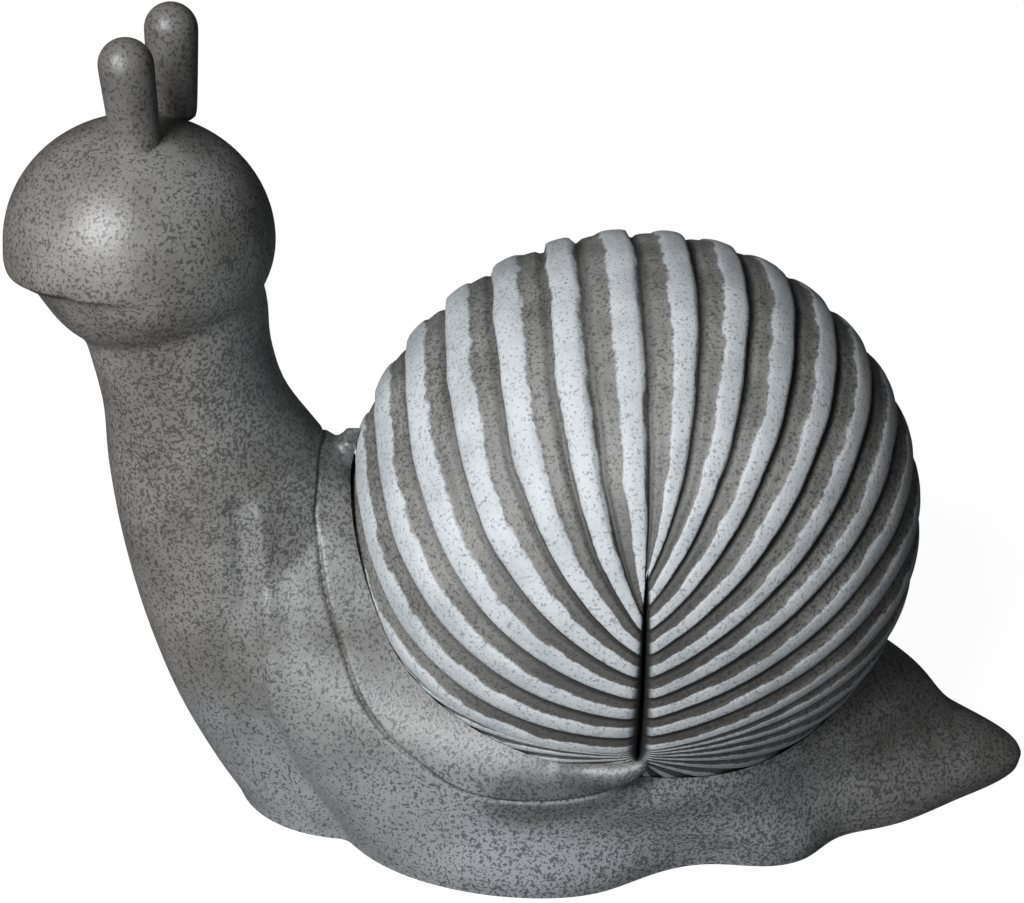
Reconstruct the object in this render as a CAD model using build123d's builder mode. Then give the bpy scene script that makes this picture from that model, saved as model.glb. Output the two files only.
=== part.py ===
from build123d import *
from math import cos, pi, radians, sin, sqrt, tanh
import os

# Driving dimensions, millimetres. The head looks along -X, the back of the shell is up.
shell_radius = 113.0          # seen from the side
shell_half_breadth = 105.0    # from the middle out to each flank
shell_height = 124.0          # height of the shell's centre over the ground
wall = 10.0                   # thickness of the castings
base_thickness = 7.0
seat_height = 27.0            # flat on which the shell stands inside the body

# Fits
shell_gap = 1.0                # glue gap round the shell's curved seat
base_gap = 0.5                # round the edge of the base plate
pin_gap = 0.2                 # round pins, dowels and stalk feet
overrun = 5.0                 # how far a cutting form runs past the face that it opens

# Shell ribs: each runs from the slit on one flank over the back to the slit on the other
rib_count = 33
rib_relief = 3.6
relief_share = 0.2            # of a rib's width, where it is narrow
ring_turn = 7.5               # degrees by which the middle rib leans from the slit to the top
slit_x = -3.0                 # place of the slit, from the shell's centre
slit_top = 33.0               # height of its upper end over the shell's centre
slit_foot = 55.0              # depth of its lower end under the shell's centre
slit_step = 10.0              # between the ends of ribs that show
slit_ribs_shown = 8           # on each side of the middle rib
swell_near_share = 0.90       # how far a rib of the front half runs on before it bends to the slit
swell_far_share = 0.64
drop_share = 0.40             # how high that bend lies between slit and rim
drop_sink_share = 0.28        # less at the ribs halfway down the front
round_shares = (0.94, 0.80)      # radii of the sections beside the middle one
flank_shares = (0.60, 0.40, 0.20)      # radii of the last sections, scaled copies of the one before

# Foot and skirt: the right-hand edge from the front to the tail, as shares of its length and of its half width
foot_front = -128.0
foot_back = 168.0
foot_half_width = 86.0
foot_edge_shares = (
    (0.0, 0.0), (0.024, 0.442), (0.074, 0.698), (0.169, 0.907), (0.280, 1.0), (0.385, 0.965), (0.459, 0.837),
    (0.534, 0.779), (0.615, 0.802), (0.666, 0.744), (0.709, 0.605), (0.780, 0.523), (0.895, 0.314), (0.966, 0.163),
    (1.0, 0.0),
)
skirt_front = -148.0
skirt_back = 108.0
skirt_half_width = 89.0
skirt_edge_shares = (
    (0.0, 0.0), (0.016, 0.404), (0.055, 0.618), (0.141, 0.742), (0.258, 0.865), (0.367, 0.944), (0.469, 1.0),
    (0.578, 0.989), (0.656, 0.888), (0.727, 0.764), (0.797, 0.652), (0.871, 0.517), (0.941, 0.337), (0.984, 0.157),
    (1.0, 0.0),
)
foot_roll = 5.0               # height of the rounded lower edge
foot_tuck = 2.0               # how far that edge draws in at the ground
skirt_height = 56.0

# Mantle, the folds that climb beside the neck: levels as shares of its height, reach, reach and half width
mantle_height = 170.0
mantle_reach = 162.0          # forward of the shell's middle
mantle_half_width = 55.0
mantle_level_shares = (       # height, front, back, half width
    (0.529, 1.0, -0.062, 1.0),
    (0.682, 0.994, 0.309, 0.891),
    (0.835, 0.951, 0.617, 0.745),
    (0.918, 0.938, 0.691, 0.564),
    (1.0, 0.938, 0.778, 0.218),
)
mantle_bluntness = 4.0        # 2 would be an ellipse

# Neck, given as the mantle is
neck_height = 240.0
neck_reach = 211.0
neck_half_width = 46.0
neck_level_shares = (         # height, front, back, half width
    (0.0, 0.768, 0.284, 1.0),
    (0.083, 0.815, 0.332, 1.0),
    (0.196, 0.872, 0.379, 0.978),
    (0.321, 0.915, 0.427, 0.957),
    (0.496, 0.953, 0.474, 0.891),
    (0.646, 0.967, 0.559, 0.804),
    (0.750, 0.967, 0.635, 0.761),
    (0.833, 0.981, 0.659, 0.783),
    (0.917, 1.0, 0.664, 0.826),
    (1.0, 1.0, 0.701, 0.783),
)
neck_points = 8               # points on each half of a level

# Head
head_set_back = 26.0          # of its middle, behind the front of the neck
head_lift = 3.0               # of its widest level over the top of the neck
head_radius = 50.0            # seen from above
head_rise = 46.5              # of the crown over the widest level
chin_drop = 40.0              # of the chin under it
quarter_turn = 90              # each half of the head's ball, in degrees
head_turn = 16.0              # degrees, away from the right-hand side
mouth_drop = 7.0              # of the mouth under the widest level
mouth_half_angle = 62.0
mouth_radius = 2.2            # of the round groove between the lips

# Hollow of the body casting, a leaning cone with a round end
neck_wall = 14.0
hollow_foot_share = 0.560     # places along the neck's reach and height
hollow_top_share = 0.830
hollow_rise_share = 0.792

# Rolled lip of the mantle: half widths and heights over the shell's centre as shares of the shell's sizes
lip_radius = 9.5
lip_stand_off = 3.0           # its middle line over the shell's face
lip_path_shares = (
    (0.0, 0.292), (0.171, 0.230), (0.314, 0.035), (0.390, -0.212), (0.514, -0.442), (0.667, -0.575), (0.800, -0.602),
)
lip_end_shares = (0.071, 0.838, -0.513)   # X, half width and height where the lip dies into the seat

# Eye stalks
stalk_spacing = 35.4          # between the two, centre to centre at the head
stalk_set_back = 8.0          # of the point between them, from the middle of the head
stalk_shift = 5.0             # of that point to the left
stalk_splay = 6.0             # degrees outwards
stalk_length = 41.0
stalk_foot_radius = 8.6
stalk_top_radius = 9.9
socket_depth = 2.0
pin_radius = 3.0
pin_length = 28.0

# Shell dowels, base plate and plug
dowel_radius = 4.0
dowel_length = 24.0
dowel_spacing_x = 48.0
dowel_spacing_y = 36.0
rim = 8.0                     # width of the casting's edge round the base plate
plug_radius = 12.0
plug_flange_radius = 16.0
plug_flange = 3.0
plug_length = 14.0

# Derived
plug_gap = pin_gap
dowel_half = dowel_length / 2
shell_floor = seat_height + dowel_half + wall / 2
mid_height = skirt_height / 2
half_ribs = rib_count / 2
head_x = head_set_back - neck_reach
head_z = neck_height + head_lift
mouth_z = head_z - mouth_drop
socket_height = head_rise * sqrt(1 - (stalk_spacing / 2 / head_radius) ** 2) - socket_depth
neck_waist = neck_half_width * min(level[3] for level in neck_level_shares)
hollow_foot_x = -neck_reach * hollow_foot_share
hollow_foot_radius = neck_half_width - neck_wall
hollow_top_x = -neck_reach * hollow_top_share
hollow_top_z = neck_height * hollow_rise_share
hollow_top_radius = neck_waist - neck_wall
plug_x = hollow_foot_x


def sized_edge(shares, front, back, half_width):
    return [(front + along * (back - front), across * half_width) for along, across in shares]


def sized_levels(shares, height, reach, half_width):
    return [(up * height, -front * reach, -back * reach, wide * half_width) for up, front, back, wide in shares]


foot_edge = sized_edge(foot_edge_shares, foot_front, foot_back, foot_half_width)
skirt_edge = sized_edge(skirt_edge_shares, skirt_front, skirt_back, skirt_half_width)
mantle_levels = sized_levels(mantle_level_shares, mantle_height, mantle_reach, mantle_half_width)
neck_levels = sized_levels(neck_level_shares, neck_height, neck_reach, neck_half_width)


def blend(first, second, share):
    return [(a[0] + (b[0] - a[0]) * share, a[1] + (b[1] - a[1]) * share) for a, b in zip(first, second)]


def level_edge(front, back, half_width):
    middle = (front + back) / 2
    reach = (back - front) / 2
    turns = [pi * k / neck_points for k in range(neck_points + 1)]
    return [(middle - reach * cos(t), half_width * sin(t)) for t in turns]


def mantle_edge(front, back, half_width):
    """A blunt outline with its points spread like those of the skirt, so that the surface between runs straight."""
    result = []
    for share, _ in skirt_edge_shares:
        fullness = (1 - abs(2 * share - 1) ** mantle_bluntness) ** (1 / mantle_bluntness)
        result.append((front + share * (back - front), half_width * fullness))
    return result


def inset(edge, distance):
    """The same half outline, moved inwards by a distance measured square to it."""
    result = []
    for k, (x, y) in enumerate(edge):
        before = edge[k - 1] if k > 0 else (edge[1][0], -edge[1][1])
        after = edge[k + 1] if k < len(edge) - 1 else (edge[-2][0], -edge[-2][1])
        along_x = after[0] - before[0]
        along_y = after[1] - before[1]
        size = sqrt(along_x ** 2 + along_y ** 2)
        result.append((x + along_y / size * distance, y - along_x / size * distance))
    result[0] = (result[0][0], 0.0)
    result[-1] = (result[-1][0], 0.0)
    return result


def outline(edge):
    """A closed face from half an outline and its mirror image."""
    with BuildSketch(mode=Mode.PRIVATE) as face:
        with BuildLine():
            Spline(*(edge + [(x, -y) for x, y in reversed(edge[1:-1])]), periodic=True)
        make_face()
    return face.sketch


def shell_form(grow):
    """The shell's smooth envelope, grown by a gap or by a wall."""
    with BuildPart(mode=Mode.PRIVATE) as ball:
        Sphere(shell_radius + grow)
        scale(by=(1, (shell_half_breadth + grow) / (shell_radius + grow), 1))
    return Pos(0, 0, shell_height) * ball.part


def rib_route(rib):
    """Three control points, seen from the side, of the line that a rib follows from the rim to the slit."""
    share = abs(rib) / half_ribs
    side = 1 if rib >= 0 else -1
    turn = radians(180 * side * share + ring_turn * (1 - share))
    rim_x = shell_radius * sin(turn)
    rim_z = shell_radius * cos(turn)
    shown = min(abs(rib), slit_ribs_shown)
    last_shown = slit_top - slit_step * slit_ribs_shown
    hidden_share = max(abs(rib) - slit_ribs_shown, 0) / (half_ribs - slit_ribs_shown)
    end_z = slit_top - slit_step * shown - hidden_share * (slit_foot + last_shown)
    front = 0.5 - 0.5 * tanh(rib)
    swell = swell_far_share + (swell_near_share - swell_far_share) * front
    halfway = 1 - abs(2 * share - 1)
    drop = drop_share - 2 * drop_sink_share * front * halfway ** 3
    bend_x = slit_x + swell * (rim_x - slit_x)
    bend_z = end_z + drop * (rim_z - end_z)
    return (rim_x, rim_z), (bend_x, bend_z), (slit_x, end_z)


def along_route(route, run):
    rim, bend, end = route
    return tuple((1 - run) ** 2 * a + 2 * run * (1 - run) * b + run ** 2 * c for a, b, c in zip(rim, bend, end))


def run_to_radius(route, radius):
    """How far along its line a rib has come where it crosses a round section."""
    low, high = 0.0, 1.0
    for _ in range(40):
        middle = (low + high) / 2
        x, z = along_route(route, middle)
        if x * x + z * z > radius * radius:
            low = middle
        else:
            high = middle
    return low


def shell_sections():
    """Place along Y, radius and scale of each section, from one flank to the other."""
    half = []
    for size in round_shares:
        half.append((shell_half_breadth * sqrt(1 - size ** 2), shell_radius * size, 1.0))
    for size in flank_shares:
        half.append((shell_half_breadth * sqrt(1 - size ** 2), shell_radius * round_shares[-1], size / round_shares[-1]))
    other = [(-along, radius, factor) for along, radius, factor in reversed(half)]
    return other + [(0.0, shell_radius, 1.0)] + half


def rib_section(radius, factor):
    """Crest and groove points of all ribs in one section, from the foot round over the front."""
    crests = []
    grooves = []
    for k in range(rib_count):
        groove_route = rib_route(k - half_ribs)
        crest_route = rib_route(k + 0.5 - half_ribs)
        grooves.append(along_route(groove_route, run_to_radius(groove_route, radius)))
        crests.append(along_route(crest_route, run_to_radius(crest_route, radius)))
    lowered = []
    for k, (x, z) in enumerate(grooves):
        next_x, next_z = grooves[(k + 1) % rib_count]
        width = sqrt((next_x - x) ** 2 + (next_z - z) ** 2)
        relief = min(rib_relief, relief_share * width)
        lowered.append((x * (1 - relief / radius) * factor, z * (1 - relief / radius) * factor))
    return [(x * factor, z * factor) for x, z in crests], lowered


def half_space(height):
    """A block that reaches from a height up past the top of the shell."""
    side = 4 * shell_radius
    with BuildPart(Plane.XY.offset(height), mode=Mode.PRIVATE) as block:
        Box(side, side, side, align=(Align.CENTER, Align.CENTER, Align.MIN))
    return block.part


def shell_front(half_width, height, stand_off):
    """The x of the shell's front face, raised by a stand-off."""
    across = half_width / (shell_half_breadth + stand_off)
    up = height / (shell_radius + stand_off)
    return -(shell_radius + stand_off) * sqrt(1 - across ** 2 - up ** 2)


def stalk_place(side):
    """Plane on the socket's floor, its Z along the eye stalk. Side is -1 right, 1 left."""
    middle = Location((head_x + stalk_set_back, stalk_shift, head_z + socket_height))
    spot = middle * Rotation(0, 0, -head_turn) * Location((0, side * stalk_spacing / 2, 0))
    return Plane(spot * Rotation(-side * stalk_splay, 0, 0))


# Body casting: foot with skirt, neck, head, rolled lip
with BuildPart() as foot:
    edges = [
        (0.0, inset(foot_edge, foot_tuck)),
        (foot_roll, foot_edge),
        (mid_height, blend(foot_edge, skirt_edge, mid_height / skirt_height)),
        (skirt_height, skirt_edge),
    ]
    edges += [(height, mantle_edge(front, back, width)) for height, front, back, width in mantle_levels]
    for height, edge in edges:
        with BuildSketch(Plane.XY.offset(height)):
            add(outline(edge))
    loft()

with BuildPart() as neck:
    for height, front, back, width in neck_levels:
        with BuildSketch(Plane.XY.offset(height)):
            add(outline(level_edge(front, back, width)))
    loft()

with BuildPart() as crown:
    Sphere(head_radius, arc_size1=0, arc_size2=quarter_turn, align=(Align.CENTER, Align.CENTER, Align.MIN))
    scale(by=(1, 1, head_rise / head_radius))

with BuildPart() as chin:
    Sphere(head_radius, arc_size1=-quarter_turn, arc_size2=0, align=(Align.CENTER, Align.CENTER, Align.MAX))
    scale(by=(1, 1, chin_drop / head_radius))

with BuildPart() as head:
    with Locations((head_x, 0, head_z)):
        add(crown.part)
        add(chin.part)

with BuildPart() as lip:
    path_points = []
    for width_share, height_share in lip_path_shares:
        width = width_share * shell_half_breadth
        height = height_share * shell_radius
        path_points.append((shell_front(width, height, lip_stand_off), -width, shell_height + height))
    end_x, end_width, end_height = lip_end_shares
    path_points.append(
        (end_x * shell_radius, -end_width * shell_half_breadth, shell_height + end_height * shell_radius)
    )
    mirrored = [(x, -y, z) for x, y, z in reversed(path_points[1:])]
    with BuildLine() as lip_line:
        Spline(*(mirrored + path_points))
    with BuildSketch(Plane(origin=lip_line.line @ 0, z_dir=lip_line.line % 0)):
        Circle(lip_radius)
    sweep(path=lip_line.line)

with BuildPart() as mouth:
    mouth_reach = head_radius * sqrt(1 - ((mouth_z - head_z) / chin_drop) ** 2)
    turn = radians(180 - head_turn - mouth_half_angle)
    corner = Plane(origin=(head_x, 0, mouth_z), x_dir=(cos(turn), sin(turn), 0), z_dir=(sin(turn), -cos(turn), 0))
    with BuildSketch(corner):
        with Locations((mouth_reach, 0)):
            Circle(mouth_radius)
    revolve(axis=Axis((head_x, 0, mouth_z), (0, 0, 1)), revolution_arc=2 * mouth_half_angle)

# Inner space of the body casting, up the neck to the chin
with BuildPart() as hollow:
    core_line = Vector(hollow_top_x - hollow_foot_x, 0, hollow_top_z)
    core = Plane(origin=(hollow_foot_x, 0, 0), x_dir=(0, 1, 0), z_dir=core_line)
    with BuildSketch(core.offset(-overrun)):
        Circle(hollow_foot_radius)
    with BuildSketch(core.offset(core_line.length)):
        Circle(hollow_top_radius)
    loft()
    with Locations((hollow_top_x, 0, hollow_top_z)):
        Sphere(hollow_top_radius)

# Seat of the shell and the pocket of the base plate
seat = shell_form(shell_gap) & half_space(seat_height)


def base_outline(distance):
    """The ground outline of foot and neck, moved inwards."""
    front, back, width = neck_levels[0][1:]
    foot_face = outline(inset(foot_edge, distance))
    return foot_face + outline(level_edge(front + distance, back - distance, width - distance))


with BuildPart() as body:
    add(foot.part)
    add(neck.part)
    add(head.part)
    add(hollow.part, mode=Mode.SUBTRACT)
    add(mouth.part, mode=Mode.SUBTRACT)
    add(lip.part)
    add(seat, mode=Mode.SUBTRACT)
    with BuildSketch(Plane.XY):
        add(base_outline(rim))
    extrude(amount=base_thickness, mode=Mode.SUBTRACT)
    with Locations(Plane.XY.offset(seat_height)):
        with GridLocations(dowel_spacing_x, dowel_spacing_y, 2, 2):
            Cylinder(
                dowel_radius + pin_gap, dowel_half, mode=Mode.SUBTRACT, align=(Align.CENTER, Align.CENTER, Align.MAX)
            )
    for side in (-1, 1):
        with Locations(stalk_place(side).location):
            Cylinder(
                stalk_foot_radius + pin_gap, stalk_length, mode=Mode.SUBTRACT,
                align=(Align.CENTER, Align.CENTER, Align.MIN),
            )
            Cylinder(
                pin_radius + pin_gap, pin_length / 2, mode=Mode.SUBTRACT,
                align=(Align.CENTER, Align.CENTER, Align.MAX),
            )

# Shell casting: ribs that run over the top from the slit on one flank to the slit on the other
with BuildPart() as shell:
    for along, radius, factor in shell_sections():
        crests, grooves = rib_section(radius, factor)
        place = Plane(origin=(0, along, shell_height), x_dir=(1, 0, 0), z_dir=(0, -1, 0))
        with BuildSketch(place):
            with BuildLine():
                for k, crest in enumerate(crests):
                    ThreePointArc(grooves[k], crest, grooves[(k + 1) % rib_count])
            make_face()
    loft()
    add(half_space(seat_height), mode=Mode.INTERSECT)
    add(shell_form(-rib_relief - wall) & half_space(shell_floor), mode=Mode.SUBTRACT)
    with Locations(Plane.XY.offset(seat_height)):
        with GridLocations(dowel_spacing_x, dowel_spacing_y, 2, 2):
            Cylinder(
                dowel_radius + pin_gap, dowel_half, mode=Mode.SUBTRACT, align=(Align.CENTER, Align.CENTER, Align.MIN)
            )

with BuildPart() as shell_dowels:
    with Locations(Plane.XY.offset(seat_height)):
        with GridLocations(dowel_spacing_x, dowel_spacing_y, 2, 2):
            Cylinder(dowel_radius, dowel_length)

# Eye stalks: turned shapes with a flat foot and a round top
with BuildPart() as stalk:
    with BuildSketch(Plane.XZ):
        with BuildLine():
            shoulder = stalk_length - stalk_top_radius
            Polyline((0, stalk_length), (0, 0), (stalk_foot_radius, 0), (stalk_top_radius, shoulder))
            RadiusArc((stalk_top_radius, shoulder), (0, stalk_length), -stalk_top_radius)
        make_face()
    revolve(axis=Axis.Z)
    Cylinder(
        pin_radius + pin_gap, pin_length / 2, mode=Mode.SUBTRACT, align=(Align.CENTER, Align.CENTER, Align.MIN)
    )

stalks = {}
for side, side_name in ((-1, "right"), (1, "left")):
    stalks[side_name] = stalk_place(side).location * stalk.part

with BuildPart() as stalk_pins:
    for side in (-1, 1):
        with Locations(stalk_place(side).location):
            Cylinder(pin_radius, pin_length)

# Base plate and the plug of its filling hole
with BuildPart() as base_plate:
    with BuildSketch(Plane.XY):
        add(base_outline(rim + base_gap))
        with Locations((plug_x, 0)):
            Circle(plug_radius + plug_gap, mode=Mode.SUBTRACT)
    extrude(amount=base_thickness)
    with Locations((plug_x, 0, 0)):
        Cylinder(
            plug_flange_radius + plug_gap, plug_flange, mode=Mode.SUBTRACT,
            align=(Align.CENTER, Align.CENTER, Align.MIN),
        )

with BuildPart() as base_plug:
    with Locations((plug_x, 0, 0)):
        Cylinder(plug_flange_radius, plug_flange, align=(Align.CENTER, Align.CENTER, Align.MIN))
        Cylinder(plug_radius, plug_length, align=(Align.CENTER, Align.CENTER, Align.MIN))

os.makedirs("parts", exist_ok=True)
pieces = {
    "body": body.part,
    "shell": shell.part,
    "shell_dowels": shell_dowels.part,
    "eye_stalk_right": stalks["right"],
    "eye_stalk_left": stalks["left"],
    "stalk_pins": stalk_pins.part,
    "base_plate": base_plate.part,
    "base_plug": base_plug.part,
}
for label, piece in pieces.items():
    piece.label = label
    export_step(piece, "parts/" + label + ".step")
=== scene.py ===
import math
import bmesh
import bpy
import numpy as np
from mathutils import Matrix, Vector


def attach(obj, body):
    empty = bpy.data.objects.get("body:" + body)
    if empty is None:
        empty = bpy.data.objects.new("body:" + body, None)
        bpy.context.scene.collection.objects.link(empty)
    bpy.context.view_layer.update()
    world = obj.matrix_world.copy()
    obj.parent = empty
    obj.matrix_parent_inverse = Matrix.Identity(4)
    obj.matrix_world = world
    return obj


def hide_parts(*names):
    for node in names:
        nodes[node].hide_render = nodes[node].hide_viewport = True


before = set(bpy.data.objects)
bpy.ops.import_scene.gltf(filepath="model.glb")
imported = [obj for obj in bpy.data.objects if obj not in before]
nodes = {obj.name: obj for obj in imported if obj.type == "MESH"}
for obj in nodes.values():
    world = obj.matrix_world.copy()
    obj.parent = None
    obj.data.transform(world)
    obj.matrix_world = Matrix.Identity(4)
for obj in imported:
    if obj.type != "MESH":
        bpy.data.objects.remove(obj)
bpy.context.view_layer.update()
mm = 0.001


# Helpers for objects and meshes
def deselectAll():
    for o in bpy.context.selected_objects:
        o.select_set(False)


def makeActive(o):
    deselectAll()
    o.select_set(True)
    bpy.context.view_layer.objects.active = o


def applyModifier(o, kind, **settings):
    makeActive(o)
    modifier = o.modifiers.new(kind.title(), kind)
    for key, value in settings.items():
        setattr(modifier, key, value)
    bpy.ops.object.modifier_apply(modifier=modifier.name)


def cutWith(o, tool):
    applyModifier(o, "BOOLEAN", operation="DIFFERENCE", object=tool, solver="EXACT")
    bpy.data.objects.remove(tool)


def newObject(name, mesh):
    o = bpy.data.objects.new(name, mesh)
    bpy.context.scene.collection.objects.link(o)
    return o


def unitBall(name, segments, rings):
    deselectAll()
    bpy.ops.mesh.primitive_uv_sphere_add(segments=segments, ring_count=rings, radius=1)
    ball = bpy.context.active_object
    ball.name = name
    return ball


def smoothFaces(o):
    for polygon in o.data.polygons:
        polygon.use_smooth = True


def recalcNormals(o):
    makeActive(o)
    bpy.ops.object.mode_set(mode="EDIT")
    bpy.ops.mesh.select_all(action="SELECT")
    bpy.ops.mesh.normals_make_consistent(inside=False)
    bpy.ops.object.mode_set(mode="OBJECT")


def bridgedLoops(name, loops):
    # a closed skin over a stack of loops with equal counts of points
    loops = np.asarray(loops, float)
    rows, count = loops.shape[:2]
    faces = []
    for r in range(rows - 1):
        for k in range(count):
            n = (k + 1) % count
            faces.append((r * count + k, r * count + n, (r + 1) * count + n, (r + 1) * count + k))
    faces.append(tuple(reversed(range(count))))
    faces.append(tuple((rows - 1) * count + k for k in range(count)))
    mesh = bpy.data.meshes.new(name)
    mesh.from_pydata([tuple(p) for p in loops.reshape(-1, 3)], [], faces)
    mesh.validate()
    o = newObject(name, mesh)
    recalcNormals(o)
    return o


def readVertices(o, key="co"):
    values = np.zeros(len(o.data.vertices) * 3, np.float32)
    o.data.vertices.foreach_get(key, values)
    return values.reshape(-1, 3).astype(float)


def setVertices(o, co):
    o.data.vertices.foreach_set("co", co.astype(np.float32).ravel())
    o.data.update()


def storeValue(o, name, values):
    attribute = o.data.attributes.new(name, "FLOAT", "POINT")
    attribute.data.foreach_set("value", np.asarray(values, np.float32))


def refineWhere(o, chosen, cuts=2):
    # finer faces where all of a face's vertices are chosen
    makeActive(o)
    bpy.ops.object.mode_set(mode="EDIT")
    bpy.ops.mesh.select_mode(type="FACE")
    bpy.ops.mesh.select_all(action="DESELECT")
    bpy.ops.object.mode_set(mode="OBJECT")
    for polygon in o.data.polygons:
        polygon.select = all(chosen[v] for v in polygon.vertices)
    bpy.ops.object.mode_set(mode="EDIT")
    bpy.ops.mesh.subdivide(number_cuts=cuts)
    bpy.ops.object.mode_set(mode="OBJECT")


# Helpers for curves
def easedStretch(t, length, start, end, startSlope, endSlope):
    # places on a smooth stretch between two points with their slopes, t running from 0 to 1
    return ((2 * t**3 - 3 * t**2 + 1) * start + (t**3 - 2 * t**2 + t) * length * startSlope
            + (-2 * t**3 + 3 * t**2) * end + (t**3 - t**2) * length * endSlope)


def closedCurve(points, count):
    # points spread evenly along a smooth closed curve through the given ones
    p = np.asarray(points, float)
    n = len(p)
    step = np.linalg.norm(np.roll(p, -1, 0) - p, axis=1)
    before = np.roll(step, 1)
    balance = np.zeros((n, n))
    pull = np.zeros(p.shape)
    for k in range(n):
        after = (k + 1) % n
        balance[k, k - 1] += step[k]
        balance[k, k] += 2 * (before[k] + step[k])
        balance[k, after] += before[k]
        pull[k] = 3 * (step[k] / before[k] * (p[k] - p[k - 1]) + before[k] / step[k] * (p[after] - p[k]))
    slope = np.linalg.solve(balance, pull)
    at = np.concatenate([[0], np.cumsum(step)])
    wanted = np.linspace(0, at[-1], count, endpoint=False)
    k = np.clip(np.searchsorted(at, wanted, side="right") - 1, 0, n - 1)
    t = ((wanted - at[k]) / step[k])[:, None]
    after = (k + 1) % n
    return easedStretch(t, step[k][:, None], p[k], p[after], slope[k], slope[after])


def openCurve(points, count):
    # points spread evenly along a smooth open curve through the given ones
    p = np.asarray(points, float)
    at = np.concatenate([[0], np.cumsum(np.linalg.norm(np.diff(p, axis=0), axis=1))])
    slope = np.gradient(p, at, axis=0)
    wanted = np.linspace(0, at[-1], count)
    k = np.clip(np.searchsorted(at, wanted, side="right") - 1, 0, len(p) - 2)
    length = (at[k + 1] - at[k])[:, None]
    t = (wanted - at[k])[:, None] / length
    return easedStretch(t, length, p[k], p[k + 1], slope[k], slope[k + 1])


def distanceTo(co, curve):
    best = np.full(len(co), np.inf)
    for a, b in zip(curve[:-1], curve[1:]):
        d = b - a
        t = np.clip((co - a) @ d / (d @ d), 0, 1)
        best = np.minimum(best, np.linalg.norm(co - a - t[:, None] * d, axis=1))
    return best


def smoothStep(x, low, high):
    t = np.clip((x - low) / (high - low), 0, 1)
    return t * t * (3 - 2 * t)


def bell(x, width):
    return np.exp(-((x / width) ** 2))


# Shell: ribs that run over the back from the slit on one flank to the slit on the other, in metres.
# Ribs are counted from the top, below zero towards the head. A run goes from 0 at the rim to 1 at the slit.
shellForm = {
    "radius": 0.113, "halfBreadth": 0.105, "height": 0.124, "ribs": 33, "middleRib": -2, "ringTurn": 7.5,
    "relief": 0.0038, "reliefShare": 0.21, "slitFlattening": 0.6, "flattenFrom": 0.75,
    "slitX": -0.003, "slitTop": 0.033, "slitStep": 0.010, "slitRibsShown": 8, "slitFoot": -0.055,
    "slitHalfWidth": 0.0012, "slitTaper": 0.4, "slitDepth": 0.006, "slitWalls": (0.45, 1.0),
    "slitNarrowing": 0.7, "lipShare": 0.25, "lipFrom": 0.985, "shadeFrom": 0.55,
    "headSwell": 0.90, "tailSwell": 0.64, "swellBlend": 0.8, "drop": 0.4, "dropSink": 0.0012,
    "wander": 0.018, "wanderWaves": ((15, 1.9, 0, 1.0), (31, -2.7, 1.3, 0.7)),
    "pointsPerRib": 14, "rowsPerFlank": 95,
}
ribProfile = (   # place across a rib, share of the relief
    (-0.50, 0.50), (-0.29, 0.60), (-0.23, 0.86), (-0.12, 0.97), (0.0, 1.0), (0.18, 0.96), (0.24, 0.80),
    (0.29, 0.10), (0.32, 0.0), (0.36, 0.08), (0.42, 0.40), (0.50, 0.50),
)


def shellFront(y, up):
    # how far forward the smooth shell reaches at a half width and a height over its centre
    f = shellForm
    across = y / f["halfBreadth"]
    raised = up / f["radius"]
    return -f["radius"] * np.sqrt(np.maximum(0, 1 - across**2 - raised**2))


def shellNormal(point):
    f = shellForm
    normal = point / np.array([f["radius"] ** 2, f["halfBreadth"] ** 2, f["radius"] ** 2])
    return normal / np.linalg.norm(normal, axis=-1)[..., None]


def ribLine(rib, run):
    # a rib seen from the side, from the rim over a bend to the slit
    f = shellForm
    half = f["ribs"] / 2
    share = rib / half
    turn = np.radians(180 * share + f["ringTurn"] * (1 - np.abs(share)))
    rimX, rimZ = f["radius"] * np.sin(turn), f["radius"] * np.cos(turn)
    shown = np.minimum(np.abs(rib), f["slitRibsShown"])
    hidden = np.maximum(np.abs(rib) - f["slitRibsShown"], 0) / (half - f["slitRibsShown"])
    lastShown = f["slitTop"] - f["slitStep"] * f["slitRibsShown"]
    endZ = f["slitTop"] - f["slitStep"] * shown + hidden * (f["slitFoot"] - lastShown)
    endX = f["slitX"] + np.sign(rib) * f["slitHalfWidth"] * np.abs(np.sin(math.pi * share)) ** f["slitTaper"]
    front = 0.5 - 0.5 * np.tanh(f["swellBlend"] * rib)
    swell = f["tailSwell"] + (f["headSwell"] - f["tailSwell"]) * front
    drop = f["drop"] - f["dropSink"] * front * np.minimum(np.abs(rib), half - np.abs(rib)) ** 3
    bendX = endX + swell * (rimX - endX)
    bendZ = endZ + drop * (rimZ - endZ)
    t = run * run
    x = (1 - t) ** 2 * rimX + 2 * t * (1 - t) * bendX + t**2 * endX
    z = (1 - t) ** 2 * rimZ + 2 * t * (1 - t) * bendZ + t**2 * endZ
    return x, z


def ribWander(rib, run):
    # a hand-carved unevenness that dies out at the slit
    waves = 0
    for alongRate, acrossRate, start, amount in shellForm["wanderWaves"]:
        waves = waves + amount * np.sin(alongRate * run + acrossRate * rib + start)
    return shellForm["wander"] * waves * (1 - run**4)


def ribAcross(marked):
    # place across the rib, with the steep side away from the middle rib
    whole = np.round(marked)
    across = (marked - whole) * np.where(whole < shellForm["middleRib"], -1, 1)
    return np.where(whole == shellForm["middleRib"], np.abs(across), across)


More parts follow.
